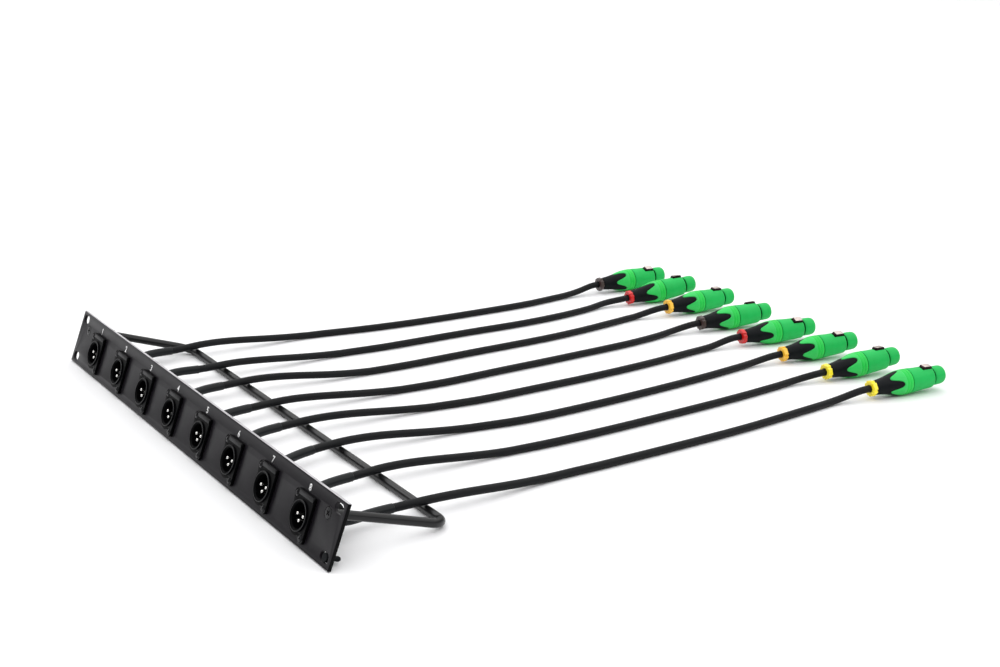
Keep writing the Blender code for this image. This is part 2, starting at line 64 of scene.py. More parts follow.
# ------------------------------------------------------------------ sizes
CHANNELS = 8
PANEL_W, PANEL_H, PANEL_T = 482.6, 44.0, 2.5
SLOT_EDGE, SLOT_PITCH, SLOT_L, SLOT_H = 8.75, 31.75, 10.4, 6.8
PITCH, SOCKET_S, CUTOUT_R = 55.2, 18.5, 12.1
ARM_X, ARM_S, ARM_DEPTH, BEND_R, ROD_R = PANEL_W / 2 - 19.5, 31.0, 92.3, 14.0, 3.2
ARM_RISE, ARM_SPLAY = math.radians(2.0), math.radians(-2.1)
RISE_S = ARM_S + ARM_DEPTH * math.tan(ARM_RISE)
LEAN = math.atan2(RISE_S, ARM_DEPTH - PANEL_T) - math.asin(
    ROD_R / math.hypot(RISE_S, ARM_DEPTH - PANEL_T))
SIN, COS = math.sin(LEAN), math.cos(LEAN)
LIFT = PANEL_T * SIN
Y0 = ((RISE_S * SIN + ARM_DEPTH * COS + ROD_R)
      + min(0.0, (SOCKET_S - 15.5) * SIN - 2.15 * COS)) / 2
CABLE_R, SLEEVE_R, SLEEVE_Y = 3.0, 3.4, 72.0
FLOOR_Z, CREST_Z, RISE_RUN = 3.06, 9.85, 42.0
BARREL_N, PIN_TAIL_N = 25.0, 19.8
RING_R, RING_HALF, PLUG_L = 6.8, 2.0, 75.0

# ring x and y behind the plate, heading from +Y towards +X, nose-up pitch,
# latch rolled from straight up towards +X
PLUGS = [
    (-222.8, 538.3, 3.9, 2.5, 18.0),
    (-172.7, 538.4, 4.0, 5.8, -9.0),
    (-122.9, 547.8, 2.3, 2.2, 3.0),
    (-66.3, 541.9, 6.5, 3.8, -21.0),
    (-12.5, 545.8, 8.8, 2.8, 23.0),
    (43.7, 544.5, 8.3, 4.4, 14.0),
    (100.2, 542.9, 4.7, 4.5, -4.0),
    (153.9, 541.9, 4.3, 2.4, 8.0),
]
CROWN_FROM_CAMERA = (34.4, 48.8, 17.2, 8.4, -20.7, 8.6, 24.5, -12.7)
RING_COLOURS = ("brown", "red", "amber", "brown", "red", "amber", "yellow", "yellow")
STATIONS = (55, 75, 100, 130, 165, 205, 250, 300, 350, 400, 450, 490, 515)
LAY = [
    (-201, -201, -205, -208, -209.5, -210.5, -207, -205, -206, -208.5, -213, -220.5, -223),
    (-144.5, -142.5, -144.5, -145.5, -147, -148.5, -148.5, -151.5, -154.5, -156.5, -162.5, -171.5, -176),
    (-91.5, -94, -96.5, -96, -93, -92, -93.5, -98, -102, -106.5, -114.5, -123, -127),
    (-32.5, -35, -38, -38, -37.5, -37.5, -38, -43, -47.5, -52.5, -58, -65.5, -69.5),
    (18.5, 14.5, 11.5, 10, 10, 11.5, 13.5, 10.5, 7, 2, -5, -12, -15),
    (75, 69, 65, 63.5, 64.5, 66.5, 70, 68, 63.5, 57.5, 50.5, 43.5, 40.5),
    (131.5, 128.5, 125, 123.5, 123, 123, 122.5, 119.5, 115, 110, 104, 98, 96),
    (191, 190.5, 190, 188.5, 185, 180.5, 178, 174.5, 170.5, 165.5, 158.5, 152.5, 150.5),
]


def channel_x(i):
    return (i - (CHANNELS - 1) / 2) * PITCH


def on_plate(x, n, s):
    return Vector((x, s * SIN + n * COS - Y0, s * COS - n * SIN + LIFT))


PLATE = Matrix.Translation((0, -Y0 * MM, LIFT * MM)) @ Matrix.Rotation(-LEAN, 4, "X")


def socket_frame(i):
    """Local Z rearwards, X along the plate, Y down it."""
    return PLATE @ Matrix.Translation((channel_x(i) * MM, 0, SOCKET_S * MM)) @ Matrix.Rotation(-math.pi / 2, 4, "X")


# ------------------------------------------------------------------ helpers
def smoothstep(a, b, x):
    t = min(max((x - a) / (b - a), 0.0), 1.0)
    return t * t * (3 - 2 * t)


def tidy(mesh, angle=38.0, weld=2e-6):
    bm = bmesh.new()
    bm.from_mesh(mesh)
    bmesh.ops.remove_doubles(bm, verts=bm.verts, dist=weld)
    bmesh.ops.dissolve_degenerate(bm, edges=bm.edges, dist=1e-7)
    bmesh.ops.recalc_face_normals(bm, faces=bm.faces)
    bm.to_mesh(mesh)
    bm.free()
    mesh.shade_smooth()
    mesh.set_sharp_from_angle(angle=math.radians(angle))
    return mesh


def mesh_of(name, verts, faces, angle=38.0):
    """A mesh from points in millimetres."""
    mesh = bpy.data.meshes.new(name)
    mesh.from_pydata([tuple(c * MM for c in v) for v in verts], [], faces)
    return tidy(mesh, angle)


def loft(name, loops, close_u=True, cap_start=True, cap_end=True, joined=False, angle=38.0):
    """Skins a list of equal loops of points (mm). joined also skins the last to the first."""
    count = len(loops[0])
    verts = [p for loop in loops for p in loop]
    faces = []
    rows = len(loops)
    for a in range(rows if joined else rows - 1):
        b = (a + 1) % rows
        for k in range(count if close_u else count - 1):
            j = (k + 1) % count
            faces.append((a * count + k, a * count + j, b * count + j, b * count + k))
    if not joined:
        if cap_start:
            faces.append(tuple(range(count)))
        if cap_end:
            faces.append(tuple((rows - 1) * count + k for k in range(count)))
    return mesh_of(name, verts, faces, angle)


def turned(name, profile, steps, joined=False, angle=38.0):
    """Mesh turned about local Z from (radius, height) points; a point on the
    axis closes the end with a fan."""
    verts, faces, rings = [], [], []
    for r, z in profile:
        if r < 1e-6:
            rings.append([len(verts)])
            verts.append((0.0, 0.0, z))
        else:
            rings.append(list(range(len(verts), len(verts) + steps)))
            verts += [(r * math.cos(math.tau * k / steps), r * math.sin(math.tau * k / steps), z)
                      for k in range(steps)]
    pairs = list(zip(rings, rings[1:])) + ([(rings[-1], rings[0])] if joined else [])
    for a, b in pairs:
        for k in range(steps):
            j = (k + 1) % steps
            if len(a) == 1 and len(b) == 1:
                continue
            if len(a) == 1:
                faces.append((a[0], b[j], b[k]))
            elif len(b) == 1:
                faces.append((a[k], a[j], b[0]))
            else:
                faces.append((a[k], a[j], b[j], b[k]))
    return mesh_of(name, verts, faces, angle)


def rounded(profile, cuts, steps=4):
    """Profile with some corners replaced by a curve: cuts maps the index of a
    point to how far from it the curve starts."""
    out = []
    for k, p in enumerate(profile):
        if k not in cuts:
            out.append(p)
            continue
        a, b, c = np.array(profile[k - 1]), np.array(p), np.array(profile[(k + 1) % len(profile)])
        ca = b + (a - b) / np.linalg.norm(a - b) * min(cuts[k], np.linalg.norm(a - b) * 0.49)
        cc = b + (c - b) / np.linalg.norm(c - b) * min(cuts[k], np.linalg.norm(c - b) * 0.49)
        for q in range(steps + 1):
            t = q / steps
            out.append(tuple((1 - t) ** 2 * ca + 2 * t * (1 - t) * b + t * t * cc))
    return out


def sweep(name, points, radii, sides=24, start_round=0.0, end_round=0.0, angle=38.0):
    """Round tube through points (mm), its frames carried along without twist."""
    p = [np.array(q, float) for q in points]
    r = list(radii)
    tangents = []
    for k in range(len(p)):
        d = p[min(k + 1, len(p) - 1)] - p[max(k - 1, 0)]
        tangents.append(d / np.linalg.norm(d))
    normal = np.cross(tangents[0], (0.0, 0.0, 1.0))
    normal /= np.linalg.norm(normal)
    rings = []

    def ring(at, t, nrm, radius):
        b = np.cross(t, nrm)
        return [tuple(at + radius * (math.cos(math.tau * k / sides) * nrm + math.sin(math.tau * k / sides) * b))
                for k in range(sides)]

    if start_round:
        for q in (0.0, 0.35, 0.7):
            a = q * math.pi / 2
            rings.append(ring(p[0] + tangents[0] * start_round * (math.sin(a)), tangents[0], normal,
                              r[0] - start_round * (1 - math.sin(a)) ** 0.9))
        p[0] = p[0] + tangents[0] * start_round
    for k in range(len(p)):
        normal = normal - tangents[k] * (normal @ tangents[k])
        normal /= np.linalg.norm(normal)
        at = p[k] - (tangents[k] * end_round if end_round and k == len(p) - 1 else 0.0)
        rings.append(ring(at, tangents[k], normal, r[k]))
    if end_round:
        for q in (0.35, 0.7, 1.0):
            a = q * math.pi / 2
            rings.append(ring(p[-1] - tangents[-1] * end_round * (1 - math.sin(a)), tangents[-1], normal,
                              r[-1] - end_round * (1 - math.cos(a))))
    return loft(name, rings, angle=angle)


def temp(name, data, matrix=None):
    ob = bpy.data.objects.new(name, data)
    scene.collection.objects.link(ob)
    if matrix is not None:
        ob.matrix_world = matrix
    return ob


def evaluated(ob, name, angle=38.0, weld=2e-6):
    """The mesh an object's modifiers or curve make; the object goes."""
    bpy.context.view_layer.update()
    graph = bpy.context.evaluated_depsgraph_get()
    mesh = bpy.data.meshes.new_from_object(ob.evaluated_get(graph), depsgraph=graph)
    mesh.name = name
    bpy.data.objects.remove(ob, do_unlink=True)
    return tidy(mesh, angle, weld)


def combine(name, base, others, angle=38.0):
    """Boolean of base with (object, operation) pairs; all the objects go."""
    for other, operation in others:
        mod = base.modifiers.new(operation, "BOOLEAN")
        mod.operation, mod.object, mod.solver = operation, other, "EXACT"
    mesh = evaluated(base, name, angle)
    for other, _ in others:
        bpy.data.objects.remove(other, do_unlink=True)
    return mesh


def arc(cx, cy, r, a0, a1, count):
    return [(cx + r * math.cos(math.radians(a0 + (a1 - a0) * k / count)),
             cy + r * math.sin(math.radians(a0 + (a1 - a0) * k / count))) for k in range(count + 1)]


def plate_mesh(name, loops, low, high, bevel, segments=3):
    """Plate between two heights on local Z, from closed outlines with holes
    inside the first; every edge is rounded by bevel."""
    curve = bpy.data.curves.new(name, "CURVE")
    curve.dimensions, curve.fill_mode = "2D", "BOTH"
    curve.extrude = ((high - low) / 2 - bevel) * MM
    curve.bevel_depth, curve.bevel_resolution, curve.offset = bevel * MM, segments, -bevel * MM
    for loop in loops:
        spline = curve.splines.new("POLY")
        spline.points.add(len(loop) - 1)
        for point, (x, y) in zip(spline.points, loop):
            point.co = (x * MM, y * MM, 0.0, 1.0)
        spline.use_cyclic_u = True
    mesh = evaluated(temp(name, curve), name, 30.0)
    mesh.transform(Matrix.Translation((0, 0, (low + high) / 2 * MM)))
    return mesh


def box_mesh(name, low, high, bevel=0.0, segments=2):
    bm = bmesh.new()
    size = [(h - l) * MM for l, h in zip(low, high)]
    centre = [(h + l) / 2 * MM for l, h in zip(low, high)]
    bmesh.ops.create_cube(bm, size=1.0, matrix=Matrix.Translation(centre) @ Matrix.Diagonal((*size, 1.0)))
    if bevel:
        bmesh.ops.bevel(bm, geom=list(bm.edges), offset=bevel * MM, segments=segments, affect="EDGES", profile=0.5)
    mesh = bpy.data.meshes.new(name)
    bm.to_mesh(mesh)
    bm.free()
    return mesh


# ------------------------------------------------------------------ materials
def srgb(r, g, b):
    def lin(c):
        c /= 255.0
        return c / 12.92 if c <= 0.04045 else ((c + 0.055) / 1.055) ** 2.4
    return (lin(r), lin(g), lin(b), 1.0)


def material(name, dark, light, rough, rough_spread=0.08, metallic=0.0, patch=60.0, grain=1800.0,
             grain_height=0.00002, grain_strength=0.3, specular=0.5, coat=0.0, stretch=(1, 1, 1), weave=None):
    """Principled surface: colour drifts between two tones over patches, fine
    grain stands in the bump and in the roughness."""
    mat = bpy.data.materials.new(name)
    mat.use_nodes = True
    tree = mat.node_tree
    nodes, links = tree.nodes, tree.links
    bsdf = nodes["Principled BSDF"]
    bsdf.inputs["Metallic"].default_value = metallic
    bsdf.inputs["Specular IOR Level"].default_value = specular
    if coat:
        bsdf.inputs["Coat Weight"].default_value = coat
        bsdf.inputs["Coat Roughness"].default_value = 0.12
    coords = nodes.new("ShaderNodeTexCoord")
    mapping = nodes.new("ShaderNodeMapping")
    mapping.inputs["Scale"].default_value = stretch
    links.new(coords.outputs["Object"], mapping.inputs["Vector"])
    patches = nodes.new("ShaderNodeTexNoise")
    patches.inputs["Scale"].default_value = patch
    patches.inputs["Detail"].default_value = 4.0
    links.new(mapping.outputs["Vector"], patches.inputs["Vector"])
    ramp = nodes.new("ShaderNodeValToRGB")
    ramp.color_ramp.elements[0].position, ramp.color_ramp.elements[0].color = 0.3, dark
    ramp.color_ramp.elements[1].position, ramp.color_ramp.elements[1].color = 0.7, light
    links.new(patches.outputs["Fac"], ramp.inputs["Fac"])
    links.new(ramp.outputs["Color"], bsdf.inputs["Base Color"])
    fine = nodes.new("ShaderNodeTexNoise")
    fine.inputs["Scale"].default_value = grain
    fine.inputs["Detail"].default_value = 3.0
    links.new(mapping.outputs["Vector"], fine.inputs["Vector"])
    spread = nodes.new("ShaderNodeMapRange")
    spread.inputs["From Min"].default_value, spread.inputs["From Max"].default_value = 0.3, 0.7
    spread.inputs["To Min"].default_value = max(rough - rough_spread, 0.02)
    spread.inputs["To Max"].default_value = min(rough + rough_spread, 1.0)
    links.new(patches.outputs["Fac"], spread.inputs["Value"])
    links.new(spread.outputs["Result"], bsdf.inputs["Roughness"])
    bump = nodes.new("ShaderNodeBump")
    bump.inputs["Strength"].default_value = grain_strength
    bump.inputs["Distance"].default_value = grain_height
    links.new(fine.outputs["Fac"], bump.inputs["Height"])
    if weave:                     # close rings round the piece, as a lathe or a jacket leaves them
        wave = nodes.new("ShaderNodeTexWave")
        wave.wave_type, wave.bands_direction = "BANDS", weave[0]
        wave.inputs["Scale"].default_value = weave[1]
        wave.inputs["Distortion"].default_value = 0.6
        links.new(mapping.outputs["Vector"], wave.inputs["Vector"])
        second = nodes.new("ShaderNodeBump")
        second.inputs["Strength"].default_value = weave[2]
        second.inputs["Distance"].default_value = grain_height
        links.new(wave.outputs["Fac"], second.inputs["Height"])
        links.new(bump.outputs["Normal"], second.inputs["Normal"])
        bump = second
    links.new(bump.outputs["Normal"], bsdf.inputs["Normal"])
    return mat


MAT = {
    "panel": material("powder_coat", srgb(19, 17, 21), srgb(25, 23, 27), 0.33, 0.04, patch=35.0, grain=1400.0,
                      grain_height=0.00004, grain_strength=0.35, specular=0.15),
    # painted highlight: light grey for the plate's upper cut edge, standing in for the light it catches
    "panel_painted_highlight": material("powder_coat_painted_highlight", srgb(168, 166, 170), srgb(192, 190, 194), 0.30, 0.05, patch=60.0, grain=1400.0,
                           grain_height=0.00004, grain_strength=0.3, specular=0.6),
    # painted shade: near black for the plate's end faces
    "panel_end_painted_shade": material("powder_coat_end_painted_shade", srgb(8, 8, 9), srgb(13, 13, 14), 0.5, 0.05, patch=60.0, grain=1400.0,
                          grain_height=0.00004, grain_strength=0.3, specular=0.06),
    "bar": material("bar_coat", srgb(12, 12, 13), srgb(18, 18, 19), 0.30, 0.05, patch=50.0, grain=900.0,
                    grain_height=0.00004, grain_strength=0.25, specular=0.3),
    "screw": material("black_steel", srgb(11, 11, 13), srgb(26, 26, 29), 0.28, 0.08, metallic=0.6, patch=300.0,
                      grain=2500.0, grain_strength=0.3),
    "receptacle": material("socket_black", srgb(4, 4, 5), srgb(8, 8, 9), 0.34, 0.06, patch=120.0, grain=2200.0,
                           grain_height=0.00002, grain_strength=0.25, specular=0.025),
    # painted highlight: a lighter black for the socket's lit lip, band and ear
    "receptacle_face": material("socket_face", srgb(15, 15, 17), srgb(21, 21, 23), 0.40, 0.06, patch=120.0, grain=2200.0,
                                grain_height=0.00002, grain_strength=0.25, specular=0.22),
    "insert": material("insert_black", srgb(3, 3, 4), srgb(7, 7, 8), 0.5, 0.05, patch=200.0, specular=0.03),
    "pin": material("pin_silver", srgb(225, 224, 220), srgb(242, 241, 238), 0.20, 0.04, metallic=1.0, patch=500.0,
                    grain=3000.0, grain_height=0.00001, grain_strength=0.2, weave=("Z", 1500.0, 0.1)),
    # painted shade: dark metal for a pin the rim keeps in shade
    "pin_dull": material("pin_dull", srgb(46, 46, 46), srgb(66, 65, 64), 0.40, 0.05, metallic=1.0, patch=500.0,
                         grain=3000.0, grain_height=0.00001, grain_strength=0.2, weave=("Z", 1500.0, 0.1)),
    "brass": material("contact_brass", srgb(205, 170, 95), srgb(225, 190, 120), 0.25, 0.05, metallic=1.0, patch=400.0),
    "cable": material("cable_jacket", srgb(10, 11, 13), srgb(17, 18, 20), 0.52, 0.07, patch=90.0, grain=1600.0,
                      grain_height=0.00004, grain_strength=0.35, specular=0.16),
    "sleeve": material("shrink_sleeve", srgb(14, 17, 19), srgb(21, 24, 26), 0.42, 0.05, patch=110.0, grain=700.0,
                       grain_height=0.00006, grain_strength=0.2, specular=0.2),
    "shell": material("shell_green", srgb(22, 176, 80), srgb(31, 186, 90), 0.52, 0.05, patch=70.0, grain=2600.0,
                      grain_height=0.00003, grain_strength=0.25, specular=0.2),
    "crown": material("crown_green", srgb(48, 193, 88), srgb(60, 204, 100), 0.46, 0.05, patch=70.0, grain=2600.0,
                      grain_height=0.00003, grain_strength=0.25, specular=0.2),
    "band": material("band_green", srgb(32, 192, 72), srgb(44, 203, 84), 0.44, 0.05, patch=70.0, grain=2600.0,
                     grain_height=0.00003, grain_strength=0.2, specular=0.2),
    "boot": material("boot_black", srgb(8, 11, 14), srgb(15, 18, 21), 0.55, 0.06, patch=120.0, grain=1800.0,
                     grain_height=0.00004, grain_strength=0.35, specular=0.11),
    "latch": material("latch_nickel", srgb(180, 166, 161), srgb(204, 191, 186), 0.30, 0.06, metallic=1.0, patch=200.0,
                      grain=900.0, grain_height=0.00003, grain_strength=0.25, stretch=(1, 6, 1)),
    # painted shade: dark metal for the latch's sides and ends
    "latch_side": material("latch_side", srgb(22, 17, 18), srgb(48, 40, 40), 0.34, 0.08, metallic=1.0, patch=400.0, grain=900.0,
                           grain_height=0.00003, grain_strength=0.25),
    "ring_brown": material("ring_brown", srgb(50, 34, 32), srgb(66, 48, 46), 0.34, 0.05, patch=150.0),
    "ring_red": material("ring_red", srgb(196, 12, 14), srgb(214, 22, 24), 0.32, 0.05, patch=150.0),
    "ring_amber": material("ring_amber", srgb(250, 186, 40), srgb(255, 200, 62), 0.34, 0.05, patch=150.0),
    "ring_yellow": material("ring_yellow", srgb(253, 226, 32), srgb(255, 240, 62), 0.34, 0.05, patch=150.0),
    "print": material("white_print", srgb(232, 232, 232), srgb(246, 246, 246), 0.6, 0.05, patch=900.0),
}


def piece(name, mesh, mat, matrix=None, body=ROOT, nodes=()):
    """One shown piece, riding on its body."""
    ob = bpy.data.objects.new(name, mesh)
    scene.collection.objects.link(ob)
    if not mesh.materials:
        mesh.materials.append(None)
    mats = mat if isinstance(mat, (list, tuple)) else [mat]
    while len(mesh.materials) < len(mats):
        mesh.materials.append(None)
    for k, m in enumerate(mats):
        ob.material_slots[k].link = "OBJECT"
        ob.material_slots[k].material = MAT[m]
    if matrix is not None:
        ob.matrix_world = matrix
    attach(ob, body)
    if nodes:
        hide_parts(*nodes)
    return ob


# ------------------------------------------------------------------ plug frames
def plug_radius(u):
    table = ((2.3, 5.9), (10.0, 6.75), (15.0, 7.8), (20.0, 9.0), (25.0, 10.1), (29.0, 10.6),
             (33.0, 10.7), (38.0, 10.7), (42.0, 10.3), (47.0, 9.95), (55.0, 9.75), (61.7, 9.35))
    if u <= table[0][0]:
        return table[0][1]
    for (u0, r0), (u1, r1) in zip(table, table[1:]):
        if u <= u1:
            return r0 + (r1 - r0) * (u - u0) / (u1 - u0)
    return table[-1][1]


def belly(u):
    """plug_radius with its corners eased."""
    return sum(plug_radius(u + d) * w for d, w in ((-3, .1), (-1.5, .2), (0, .4), (1.5, .2), (3, .1)))


def rest_height(pitch):
    best = RING_R
    for k in range(0, 62):
        best = max(best, plug_radius(k) / math.cos(pitch) - k * math.tan(pitch) if k > 2 else best)
    return best + 0.08


FRAMES = []
for x, y, heading, pitch, roll in PLUGS:
    heading, pitch, roll = (math.radians(a) for a in (heading, pitch, roll))
    axis = Vector((math.sin(heading) * math.cos(pitch), math.cos(heading) * math.cos(pitch), math.sin(pitch)))
    side = axis.cross(Vector((0, 0, 1))).normalized()
    up = side.cross(axis)
    latch = up * math.cos(roll) + side * math.sin(roll)
    across = axis.cross(latch)
    origin = Vector((x, y - Y0, rest_height(pitch)))
    m = Matrix((latch, across, axis)).transposed().to_4x4()
    m.translation = origin * MM
    FRAMES.append((m, origin, axis, latch, across))


# ------------------------------------------------------------------ cords
def spline_through(points):
    p = np.array([tuple(q) for q in points], float)
    t = np.concatenate([[0.0], np.cumsum(np.linalg.norm(np.diff(p, axis=0), axis=1))])
    h = np.diff(t)
    n = len(t)
    a = np.zeros((n, n))
    b = np.zeros((n, 3))
    a[0, 0] = a[-1, -1] = 1.0
    for i in range(1, n - 1):
        a[i, i - 1], a[i, i], a[i, i + 1] = h[i - 1], 2 * (h[i - 1] + h[i]), h[i]
        b[i] = 6 * ((p[i + 1] - p[i]) / h[i] - (p[i] - p[i - 1]) / h[i - 1])
    m = np.linalg.solve(a, b)

    def at(u):
        i = min(max(int(np.searchsorted(t, u)) - 1, 0), n - 2)
        w, v = t[i + 1] - u, u - t[i]
        return ((m[i] * w ** 3 + m[i + 1] * v ** 3) / (6 * h[i])
                + (p[i] / h[i] - m[i] * h[i] / 6) * w
                + (p[i + 1] / h[i] - m[i + 1] * h[i] / 6) * v)
    return t[-1], at


CORDS = []
for i, (frame_m, origin, axis, _, _) in enumerate(FRAMES):
    y = PLUGS[i][1]
    route = [on_plate(channel_x(i), PIN_TAIL_N + 0.8, SOCKET_S), on_plate(channel_x(i), BARREL_N + 1.0, SOCKET_S)]
    for station, lx in zip(STATIONS, LAY[i]):
        if station < 100:
            z = CREST_Z - 1.0 * ((100.0 - station) / 45.0) ** 1.5
        else:
            t = min(max((station - 103.0) / (212.0 - 103.0), 0.0), 1.0)
            z = CREST_Z + (FLOOR_Z - CREST_Z) * t * t * (3 - 2 * t)
        t = max((station - (y - RISE_RUN)) / RISE_RUN, 0.0)
        z += (origin.z - z) * t * t * (3 - 2 * t)
        route.append(Vector((lx, station - Y0, z)))
    route += [origin - axis * 7.0, origin + axis * RING_HALF]
    length, at_length = spline_through(route)
    knots = np.linspace(0.0, length, 176)
    pts = [at_length(k) for k in knots]
    pts = [np.array((p[0], p[1], max(p[2], FLOOR_Z))) for p in pts]
    tail = pts + [np.array(tuple(origin + axis * (RING_HALF + 2.0))), np.array(tuple(origin + axis * (RING_HALF + 4.0)))]
    name = "cable_run_%d" % (i + 1)
    mesh = sweep(name, tail, [CABLE_R] * len(tail), 24)
    cable = piece(name, mesh, "cable", nodes=("cable_%d" % (i + 1),))
    # shrink sleeve over its first stretch
    cut = next(k for k, p in enumerate(pts) if p[1] + Y0 > SLEEVE_Y)
    run = pts[:cut + 1]
    sleeve = piece("sleeve_%d" % (i + 1),
                   sweep("sleeve", run, [SLEEVE_R] * (len(run) - 1) + [SLEEVE_R - 0.03], 28, end_round=0.3),
                   "sleeve")
    path = [tuple(c * MM for c in p) for p in tail]
    CORDS.append((cable, tuple(c * MM for c in on_plate(channel_x(i), BARREL_N, SOCKET_S)), length * MM, path, sleeve))

# ------------------------------------------------------------------ plate
loops = [[(-PANEL_W / 2, 0), (PANEL_W / 2, 0), (PANEL_W / 2, PANEL_H), (-PANEL_W / 2, PANEL_H)]]
loops[0] = (arc(-PANEL_W / 2 + 0.5, 0.5, 0.5, 180, 270, 3) + arc(PANEL_W / 2 - 0.5, 0.5, 0.5, 270, 360, 3)
            + arc(PANEL_W / 2 - 0.5, PANEL_H - 0.5, 0.5, 0, 90, 3) + arc(-PANEL_W / 2 + 0.5, PANEL_H - 0.5, 0.5, 90, 180, 3))
for i in range(CHANNELS):
    loops.append(arc(channel_x(i), SOCKET_S, CUTOUT_R, 0.7 * i, 360 + 0.7 * i, 48)[:-1])
for sx in (-1, 1):
    for ds in (-1, 1):
        cx, cy = sx * (PANEL_W / 2 - SLOT_EDGE), PANEL_H / 2 + ds * SLOT_PITCH / 2
        d, r = (SLOT_L - SLOT_H) / 2, SLOT_H / 2
        loops.append(arc(cx + d, cy, r, -90, 90, 14) + arc(cx - d, cy, r, 90, 270, 14))
    loops.append(arc(sx * ARM_X, ARM_S, 2.1, 1, 361, 24)[:-1])
mesh = plate_mesh("plate", loops, 0.0, PANEL_T, 0.45, 4)
# drawn in x, s with local Z as the depth: turn so that Z is n and Y is -s
mesh.transform(Matrix.Rotation(math.pi, 4, "X"))
mesh.transform(Matrix.Translation((0, 0, PANEL_T * MM)))
FACE = PLATE @ Matrix.Rotation(-math.pi / 2, 4, "X")      # local Z = n, local Y = -s
base = temp("plate_base", mesh)
cuts = []
for sx in (-1, 1):
    cone = turned("sink", [(0, -0.4), (4.75, -0.4), (4.35, 0.0), (2.1, 2.25), (0, 2.25)], 40)
    cuts.append((temp("sink", cone, Matrix.Translation((sx * ARM_X * MM, -ARM_S * MM, 0))), "DIFFERENCE"))
plate = combine("plate", base, cuts, 30.0)
while len(plate.materials) < 3:
    plate.materials.append(None)
for poly in plate.polygons:               # painted highlight on the upper cut edge, painted shade on the end faces
    c = poly.center / MM
    if poly.normal.y < -0.35 and c.y < -PANEL_H + 1.2:
        poly.material_index = 1
    elif abs(poly.normal.x) > 0.5 and abs(c.x) > PANEL_W / 2 - 1.0:
        poly.material_index = 2
piece("plate", plate, ("panel", "panel_painted_highlight", "panel_end_painted_shade"), FACE, nodes=("panel",))

# ------------------------------------------------------------------ lacing bar
def bar_half(steps=18):
    rise, splay = math.tan(ARM_RISE), math.tan(ARM_SPLAY)
    n0 = PANEL_T + 0.05
    half = [(ARM_X, n0), (ARM_X, n0 + 4.25)]
    turn = math.pi / 2 + ARM_SPLAY
    start = ARM_DEPTH - BEND_R * math.tan(turn / 2)
    for k in range(1, 10):
        n = n0 + 4.25 + (start - n0 - 4.25) * k / 10
        half.append((ARM_X + splay * n * (k / 10) ** 0.0, n))
    half.append((ARM_X + splay * start, start))
    cx = ARM_X + splay * start - BEND_R * math.cos(ARM_SPLAY)
    cn = start + BEND_R * math.sin(ARM_SPLAY)
    for k in range(1, steps + 1):
        a = -ARM_SPLAY + (math.pi / 2 + ARM_SPLAY) * k / steps
        half.append((cx + BEND_R * math.cos(a), cn + BEND_R * math.sin(a)))
    shift = ARM_DEPTH - half[-1][1]
    half = half[:2] + [(x, n + shift) for x, n in half[2:]]
    return [(x, n, ARM_S + max(0.0, n - n0 - 4.25) * rise * ARM_DEPTH / (ARM_DEPTH - n0 - 4.25)) for x, n in half]


right = bar_half()
last = right[-1][0]
middle = [(last - last * k / 8, right[-1][1], right[-1][2]) for k in range(1, 9)]
half = right + middle
line = [on_plate(-x, n, s) for x, n, s in half] + [on_plate(x, n, s) for x, n, s in reversed(half[:-1])]
rod = temp("rod", sweep("rod", line, [ROD_R] * len(line), 40, start_round=0.0, end_round=0.0))
taps = []
for sx in (-1, 1):
    hole = turned("tap", [(0, 1.0), (2.0, 1.0), (2.0, PANEL_T + 11.0), (0, PANEL_T + 11.8)], 24)
    taps.append((temp("tap", hole, PLATE @ Matrix.Translation((sx * ARM_X * MM, 0, ARM_S * MM))
                      @ Matrix.Rotation(-math.pi / 2, 4, "X")), "DIFFERENCE"))
piece("lacing_bar_rod", combine("lacing_bar_rod", rod, taps), "bar", nodes=("lacing_bar",))


# ------------------------------------------------------------------ screws
def cross_cutter(width, reach, depth, front):
    """Tapered cross recess cut into a head whose front is at z = front."""
    out = []
    for w, h in ((reach, width), (width, reach)):
        top = [(-w / 2, -h / 2), (w / 2, -h / 2), (w / 2, h / 2), (-w / 2, h / 2)]
        rows = [[(a, b, front - 1.0) for a, b in top], [(a, b, front) for a, b in top],
                [(a * (0.35 if w > h else 0.7), b * (0.35 if h > w else 0.7), front + depth) for a, b in top]]
        out.append(loft("cross", rows))
    return out


head = rounded([(0, 13.0), (1.65, 13.0), (1.65, 2.1), (3.9, 0.25), (3.9, 0.02), (0, -0.06)], {4: 0.2})
thread = []
for k in range(24):                       # shallow thread down the shank
    z = 12.6 - k * 0.42
    thread += [(1.65, z), (1.42, z - 0.21)]
head = [(0, 13.0), (1.4, 13.0)] + thread + head[2:]
for sx, side in ((-1, "left"), (1, "right")):
    at = PLATE @ Matrix.Translation((sx * ARM_X * MM, 0, ARM_S * MM)) @ Matrix.Rotation(-math.pi / 2, 4, "X")
    body = temp("screw", turned("screw", head, 48))
    arms = [(temp("cross", c, Matrix.Rotation(0.35 * sx + 0.2, 4, "Z")), "DIFFERENCE") for c in cross_cutter(0.95, 4.4, 1.5, -0.06)]
    piece("rod_screw_" + side, combine("rod_screw", body, arms, 30.0), "screw", at,
          nodes=("bar_screw_" + side,))

# ------------------------------------------------------------------ sockets
W, H, DISC = 13.0, 15.5, CUTOUT_R + 0.6


def flange_outline(inset=0.0):
    r = 3.4
    out = arc(W - r, -H + r, r - inset, -120, 0, 10)
    out += arc(W - 1.2, H - 1.2, 1.2 - min(inset, 1.0), 0, 90, 6)
    out += arc(-W + r, H - r, r - inset, 90, 210, 12)
    out += arc(0, 0, DISC - inset, 152, 292, 40)
    return [(x, -s) for x, s in out]


